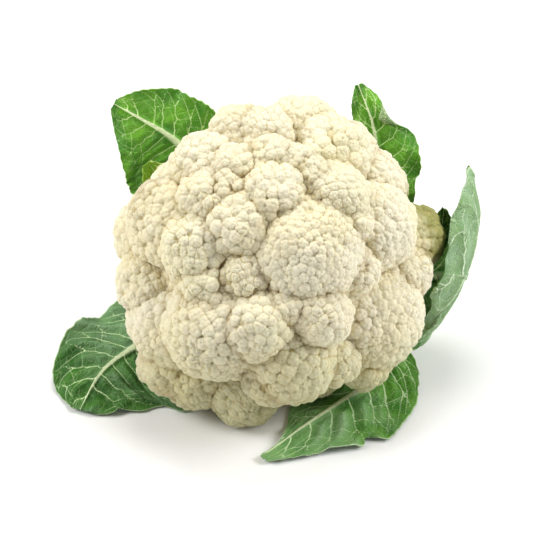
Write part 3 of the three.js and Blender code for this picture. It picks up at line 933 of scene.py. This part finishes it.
def curd_material():
    """Cream in warm and greenish patches, dark specks, and painted shade: tan creases, brown crevices, olive
    parts.
    """
    material, finish, shader = new_material("cream_curd")
    place = finish.place()

    def crease(name):
        return finish.math("POWER", finish.attribute(name), CREASE_POWER[name])

    patches = finish.span(finish.noise(place, scale=26, detail=2), 0.42, 0.66)
    colour = finish.mix(patches, CREAM, CREAM_WARM)
    colour = finish.mix(finish.times(finish.attribute("tone"), CURD_MARKS["tone"]), colour, CREAM_WARM)
    green = finish.span(finish.noise(place, scale=17, detail=1), 0.5, 0.72, 0, 0.45)
    colour = finish.mix(green, colour, CREAM_GREEN)
    # Painted shade: dark olive where the curd lies low, behind, and beside the right leaf
    colour = finish.mix(finish.attribute("green"), colour, PAINTED_SHADE_OLIVE)
    # Painted shade: patchy tan in the creases between lobes and grains, brown in the crevices between florets
    crease_shade_patches = finish.span(finish.noise(place, scale=60, detail=3), 0.35, 0.7, 0.3, 0.95)
    for kind in ("grain_crease", "lobe_crease"):
        crease_shade = finish.times(crease(kind), finish.times(crease_shade_patches, CURD_MARKS[kind]))
        colour = finish.mix(crease_shade, colour, CREASE_TAN)
    colour = finish.mix(finish.times(crease("crevice"), CURD_MARKS["crevice"]), colour, CREVICE_BROWN)
    specks = finish.nodes.new("ShaderNodeTexVoronoi")
    finish.links.new(place, specks.inputs["Vector"])
    specks.inputs["Scale"].default_value = SPECK["scale"]
    spotted = finish.math("LESS_THAN", specks.outputs["Distance"], SPECK["size"])
    more = finish.times(finish.attribute("speckled"), SPECK["more"])
    where = finish.span(finish.math("ADD", finish.noise(place, scale=45, detail=2), more), 0.54, 0.66)
    spotted = finish.times(spotted, finish.times(where, finish.attribute("grain_crease")))
    colour = finish.mix(finish.times(spotted, SPECK["share"]), colour, SPECK_BROWN)
    feed(finish.links, shader["Base Color"], colour)
    roughness = finish.span(finish.noise(place, scale=240, detail=2), 0.3, 0.7, 0.5, 0.72)
    feed(finish.links, shader["Roughness"], roughness)
    feed(finish.links, shader["Normal"], finish.bump(finish.noise(place, scale=1100, detail=3), SKIN_DEPTH))
    shader["Specular IOR Level"].default_value = 0.35
    shader["Subsurface Weight"].default_value = 0.15
    shader["Subsurface Radius"].default_value = (1.0, 0.75, 0.4)
    shader["Subsurface Scale"].default_value = 0.003
    return material


RIB_PALE = (0.80, 0.86, 0.58, 1)
RIB_PALE_SHARE = 0.65

# The skin of a leaf's two sides: how much its finest veins show, and its relief and roughness. Then how
# strongly each mark shows, the pillow being painted light on the swells and the bloom partly a painted
# highlight, and how much rougher the dull parts are than the glossy ones.
UPPER_SKIN = {"net": 0.12, "depth": 0.0006, "roughness": 0.42}
UNDER_SKIN = {"net": 0.3, "depth": 0.0008, "roughness": 0.55}
LEAF_MARKS = {"pillow": 0.4, "vein": 0.95, "rim": 0.6, "bloom_and_highlight": 0.24, "net_dip": -0.6}
DULLER = 0.14


def leaf_face(name, net, look, skin):
    """One side of a leaf: mottled green under a waxy bloom, pale veins and rib, and painted light on its
    swells.
    """
    material, finish, shader = new_material(name)
    *tints, bloom_share = look
    deep, bright, pale, bloom = ((*tint, 1) for tint in tints)
    place = finish.blade_map()
    mottled = finish.noise(place, scale=7, detail=4)
    colour = finish.mix(finish.span(mottled, 0.32, 0.68), deep, bright)
    # Painted light: lighter on the tops of the swells between the veins, darker in the dips beside them
    colour = finish.mix(finish.times(finish.attribute("pillow"), LEAF_MARKS["pillow"]), colour, bright)
    lines = finish.effect(net, Place=place, Cells=NET["large"]).outputs["Lines"]
    finest = finish.effect(net, Place=place, Cells=NET["small"]).outputs["Lines"]
    lines = finish.math("MAXIMUM", lines, finish.times(finest, NET["small_share"]))
    colour = finish.mix(finish.times(lines, skin["net"]), colour, pale)
    # The bloom, heavier where light falls: partly a painted highlight
    more = finish.times(finish.attribute("bloom"), LEAF_MARKS["bloom_and_highlight"])
    film = finish.math("ADD", finish.noise(place, scale=3.4, detail=5), more)
    film = finish.span(film, 0.46, 0.74, 0, bloom_share)
    # Painted light: the bloom shows more on the tops of the swells than in the dips
    swell = finish.span(finish.attribute("pillow"), 0.1, 1.0, 0.35, 1.0)
    colour = finish.mix(finish.times(film, swell), colour, bloom)
    vein = finish.span(finish.attribute("inside_vein"), -0.18, 0.3)
    colour = finish.mix(finish.times(vein, LEAF_MARKS["vein"]), colour, pale)
    rib = tuple((1 - RIB_PALE_SHARE) * a + RIB_PALE_SHARE * b for a, b in zip(pale, RIB_PALE))
    colour = finish.mix(finish.attribute("rib"), colour, rib)
    rim = finish.span(finish.attribute("margin"), 0.975, 0.995, 0, LEAF_MARKS["rim"])
    colour = finish.mix(rim, colour, pale)
    feed(finish.links, shader["Base Color"], colour)
    roughness = finish.span(mottled, 0.3, 0.7, skin["roughness"], skin["roughness"] + DULLER)
    feed(finish.links, shader["Roughness"], roughness)
    dips = finish.times(lines, LEAF_MARKS["net_dip"])
    height = finish.math("ADD", dips, finish.noise(place, scale=60, detail=3))
    feed(finish.links, shader["Normal"], finish.bump(height, skin["depth"]))
    shader["Specular IOR Level"].default_value = 0.25
    return material


STALK_GREEN = (0.42, 0.50, 0.22, 1)
STALK_PALE = (0.66, 0.66, 0.42, 1)
FIBRE_PALE = (0.70, 0.70, 0.48, 1)
SCAR_BROWN = (0.36, 0.29, 0.14, 1)
PITH_CREAM = (0.78, 0.76, 0.58, 1)
PITH_GREEN = (0.62, 0.64, 0.36, 1)
RING_GREEN = (0.50, 0.52, 0.24, 1)
DRY_BROWN = (0.45, 0.34, 0.17, 1)
RIND_BROWN = (0.35, 0.30, 0.13, 1)
RING_SHARE = 0.5
STALK_SKIN_DEPTH = 0.0005


def stalk_material():
    """Pale green with fibres and scars, and a cut end of cream pith inside a green ring and a dry rind."""
    material, finish, shader = new_material("pale_stalk")
    place = finish.place()
    middle = finish.attribute("middle")
    colour = finish.mix(finish.span(finish.attribute("up_stalk"), 0.1, 1.0), STALK_GREEN, STALK_PALE)
    colour = finish.mix(finish.span(finish.attribute("fibres"), -0.1, 0.5, 0, 0.5), colour, FIBRE_PALE)
    scars = finish.span(finish.noise(place, scale=90, detail=4), 0.56, 0.72, 0, 0.55)
    colour = finish.mix(scars, colour, SCAR_BROWN)
    pith = finish.mix(finish.span(middle, 0.3, 0.85), PITH_CREAM, PITH_GREEN)
    ring = finish.times(finish.span(middle, 0.62, 0.72), finish.span(middle, 0.74, 0.84, 1, 0))
    pith = finish.mix(finish.times(ring, RING_SHARE), pith, RING_GREEN)
    dry = finish.span(finish.noise(place, scale=130, detail=4), 0.5, 0.75, 0, 0.6)
    pith = finish.mix(dry, pith, DRY_BROWN)
    pith = finish.mix(finish.span(middle, 0.86, 0.97, 0, 0.6), pith, RIND_BROWN)
    colour = finish.mix(finish.attribute("cut_end"), colour, pith)
    feed(finish.links, shader["Base Color"], colour)
    roughness = finish.span(finish.noise(place, scale=200, detail=2), 0.3, 0.7, 0.45, 0.65)
    feed(finish.links, shader["Roughness"], roughness)
    skin = finish.bump(finish.noise(place, scale=500, detail=4), STALK_SKIN_DEPTH)
    feed(finish.links, shader["Normal"], skin)
    return material


# Light, table and camera


FLOOR = {"size": 8, "white": (0.95, 0.95, 0.95, 1), "roughness": 0.8}
WALLS = {"white": (1, 1, 1, 1), "strength": 0.18}
SOFTBOX_SIZE = 0.7
# The lamps by place, in metres, power, in watts, and tint
SOFTBOXES = {
    "top_softbox": ((0.05, 0.6, 1.4), 12.5, (1, 0.99, 0.97)),
    "left_softbox": ((-1.1, -0.1, 0.9), 14.5, (1, 0.99, 0.97)),
    "right_softbox": ((1.1, -0.1, 0.9), 14.5, (1, 1, 1)),
}


def studio():
    """A white table under soft light from above and from both sides."""
    bpy.ops.object.select_all(action="DESELECT")
    bpy.ops.mesh.primitive_plane_add(size=FLOOR["size"])
    floor = bpy.context.object
    floor.name = "white_table"
    material, _, shader = new_material("white_table_top")
    shader["Base Color"].default_value = FLOOR["white"]
    shader["Roughness"].default_value = FLOOR["roughness"]
    floor.data.materials.append(material)

    world = bpy.data.worlds.new("studio_walls")
    bpy.context.scene.world = world
    world.use_nodes = True
    walls = world.node_tree.nodes["Background"]
    walls.inputs["Color"].default_value = WALLS["white"]
    walls.inputs["Strength"].default_value = WALLS["strength"]

    aim = Vector(to_world(np.zeros(3)))
    for name, (place, power, tint) in SOFTBOXES.items():
        bpy.ops.object.light_add(type="AREA", location=place)
        light = bpy.context.object
        light.name = name
        light.data.size = SOFTBOX_SIZE
        light.data.energy = power
        light.data.color = tint
        light.rotation_euler = (aim - Vector(place)).to_track_quat("-Z", "Y").to_euler()


def photo_camera():
    aim = PHOTO_AIM @ TO_WORLD + HEAD_CENTRE
    place = aim + OUTWARD * CAMERA_DISTANCE
    bpy.ops.object.camera_add(location=place, rotation=(math.pi / 2 - CROWN_ELEVATION, 0, 0))
    camera = bpy.context.object
    camera.name = "photo_camera"
    camera.data.sensor_width = SENSOR_WIDTH
    camera.data.lens = SENSOR_WIDTH * CAMERA_DISTANCE / PHOTO_WIDTH
    bpy.context.scene.camera = camera
    bpy.context.scene.view_settings.view_transform = "Standard"


# Most leaves have their waxy bloom all over. Where it lies on one side, laid heavier as a painted highlight
# where light falls, the other has this much less.
EVEN_BLOOM = {"side": 0, "none": -1, "full": 0}
BLOOM_LOSS = 0.7

# The colours of both sides of a leaf: deep and bright green, veins, waxy bloom, and how much the bloom covers
WAXY_UNDER = ((0.13, 0.25, 0.10), (0.22, 0.36, 0.15), (0.55, 0.66, 0.40), (0.42, 0.54, 0.40), 0.6)
LEAF_LOOKS = {
    "bright": {
        "upper": ((0.035, 0.20, 0.003), (0.13, 0.39, 0.008), (0.62, 0.86, 0.34), (0.24, 0.50, 0.14), 0.25),
        "under": ((0.16, 0.30, 0.09), (0.26, 0.42, 0.15), (0.60, 0.70, 0.40), (0.45, 0.56, 0.38), 0.4),
    },
    "waxy": {
        "upper": ((0.020, 0.105, 0.008), (0.055, 0.20, 0.018), (0.66, 0.86, 0.46), (0.34, 0.52, 0.32), 0.85),
        "under": WAXY_UNDER,
    },
    "silvery": {
        "upper": ((0.045, 0.20, 0.012), (0.12, 0.34, 0.03), (0.74, 0.92, 0.54), (0.38, 0.58, 0.33), 0.95),
        "under": WAXY_UNDER,
    },
    "pale": {
        "upper": ((0.03, 0.14, 0.008), (0.07, 0.22, 0.018), (0.46, 0.64, 0.24), (0.20, 0.40, 0.18), 0.3),
        "under": ((0.15, 0.31, 0.09), (0.27, 0.46, 0.17), (0.78, 0.92, 0.66), (0.42, 0.62, 0.39), 0.65),
    },
    "young": {
        "upper": ((0.16, 0.38, 0.008), (0.30, 0.56, 0.015), (0.68, 0.84, 0.24), (0.40, 0.56, 0.16), 0.1),
        "under": ((0.20, 0.32, 0.07), (0.30, 0.42, 0.12), (0.58, 0.66, 0.32), (0.45, 0.54, 0.32), 0.4),
    },
    # Painted shade: a darker green for the inner right leaf, which sits in shade behind the others
    "dark": {
        "upper": ((0.015, 0.10, 0.005), (0.04, 0.17, 0.012), (0.28, 0.48, 0.14), (0.14, 0.29, 0.12), 0.2),
        "under": ((0.13, 0.25, 0.08), (0.22, 0.36, 0.14), (0.54, 0.64, 0.36), (0.42, 0.52, 0.36), 0.5),
    },
}

# How each leaf is finished: its colours, the swell between its veins, the height and count of the crimps in
# its rim, the count and depth of its teeth, and its notches by side, place along the leaf, depth and width.
# Some give the height of their folds too, the count and width of their veins, how much of the rib shows, and
# where the bloom lies, laid heavier as a painted highlight where light falls: on which side, and between
# which places along the leaf it goes from none to full.
LEAF_FINISH = {
    "leaf_upper_left": {
        "look": "bright", "pillow": 2.4, "crimp": (1.0, 9), "teeth": (27, 0.8),
        "notches": [(-1, 0.62, 2.0, 0.04), (1, 0.66, 1.5, 0.05)],
    },
    "leaf_upper_left_inner": {
        "look": "young", "pillow": 0.5, "crimp": (0.3, 7), "teeth": (13, 1.8),
        "notches": [], "veins": 6,
    },
    "leaf_upper_right": {
        "look": "bright", "pillow": 2.8, "crimp": (2.4, 6), "teeth": (27, 0.7),
        "notches": [(1, 0.82, 10.0, 0.045), (1, 0.55, 3.0, 0.03), (-1, 0.7, 2.5, 0.05)],
    },
    "leaf_right": {
        "look": "pale", "pillow": 2.0, "crimp": (0.6, 8), "teeth": (27, 0.6),
        "notches": [], "rib_shows": 0.35, "vein_scale": 1.3, "veins": 7,
    },
    "leaf_right_inner": {
        # Painted shade: the darker look, as this leaf sits in shade
        "look": "dark", "pillow": 0.5, "crimp": (0.4, 6), "teeth": (16, 0.8),
        "notches": [],
    },
    "leaf_lower_right": {
        "look": "silvery", "pillow": 3.2, "crimp": (1.2, 8), "teeth": (29, 0.7),
        "notches": [(-1, 0.71, 7.0, 0.02)], "folds": 3.0, "bloom": {"side": 0, "none": 0.5, "full": 0.85},
    },
    "leaf_lower_left": {
        "look": "waxy", "pillow": 4.4, "crimp": (1.4, 8), "teeth": (27, 0.6),
        "notches": [(-1, 0.935, 6.5, 0.014)], "folds": 4.5, "bloom": {"side": 1, "none": 0.9, "full": 0.6},
    },
}


def model_leaves():
    net = vein_net()
    faces = {}
    for look, sides in LEAF_LOOKS.items():
        faces[look] = (
            leaf_face(look + "_leaf_upper", net, sides["upper"], UPPER_SKIN),
            leaf_face(look + "_leaf_under", net, sides["under"], UNDER_SKIN),
        )
    for number, (name, leaf) in enumerate(LEAVES.items()):
        leaf.update(LEAF_FINISH[name])
        model_leaf(name, leaf, *faces[leaf["look"]], number)


photo_camera()
studio()
model_curd(curd_material())
model_leaves()
model_stalk(stalk_material())
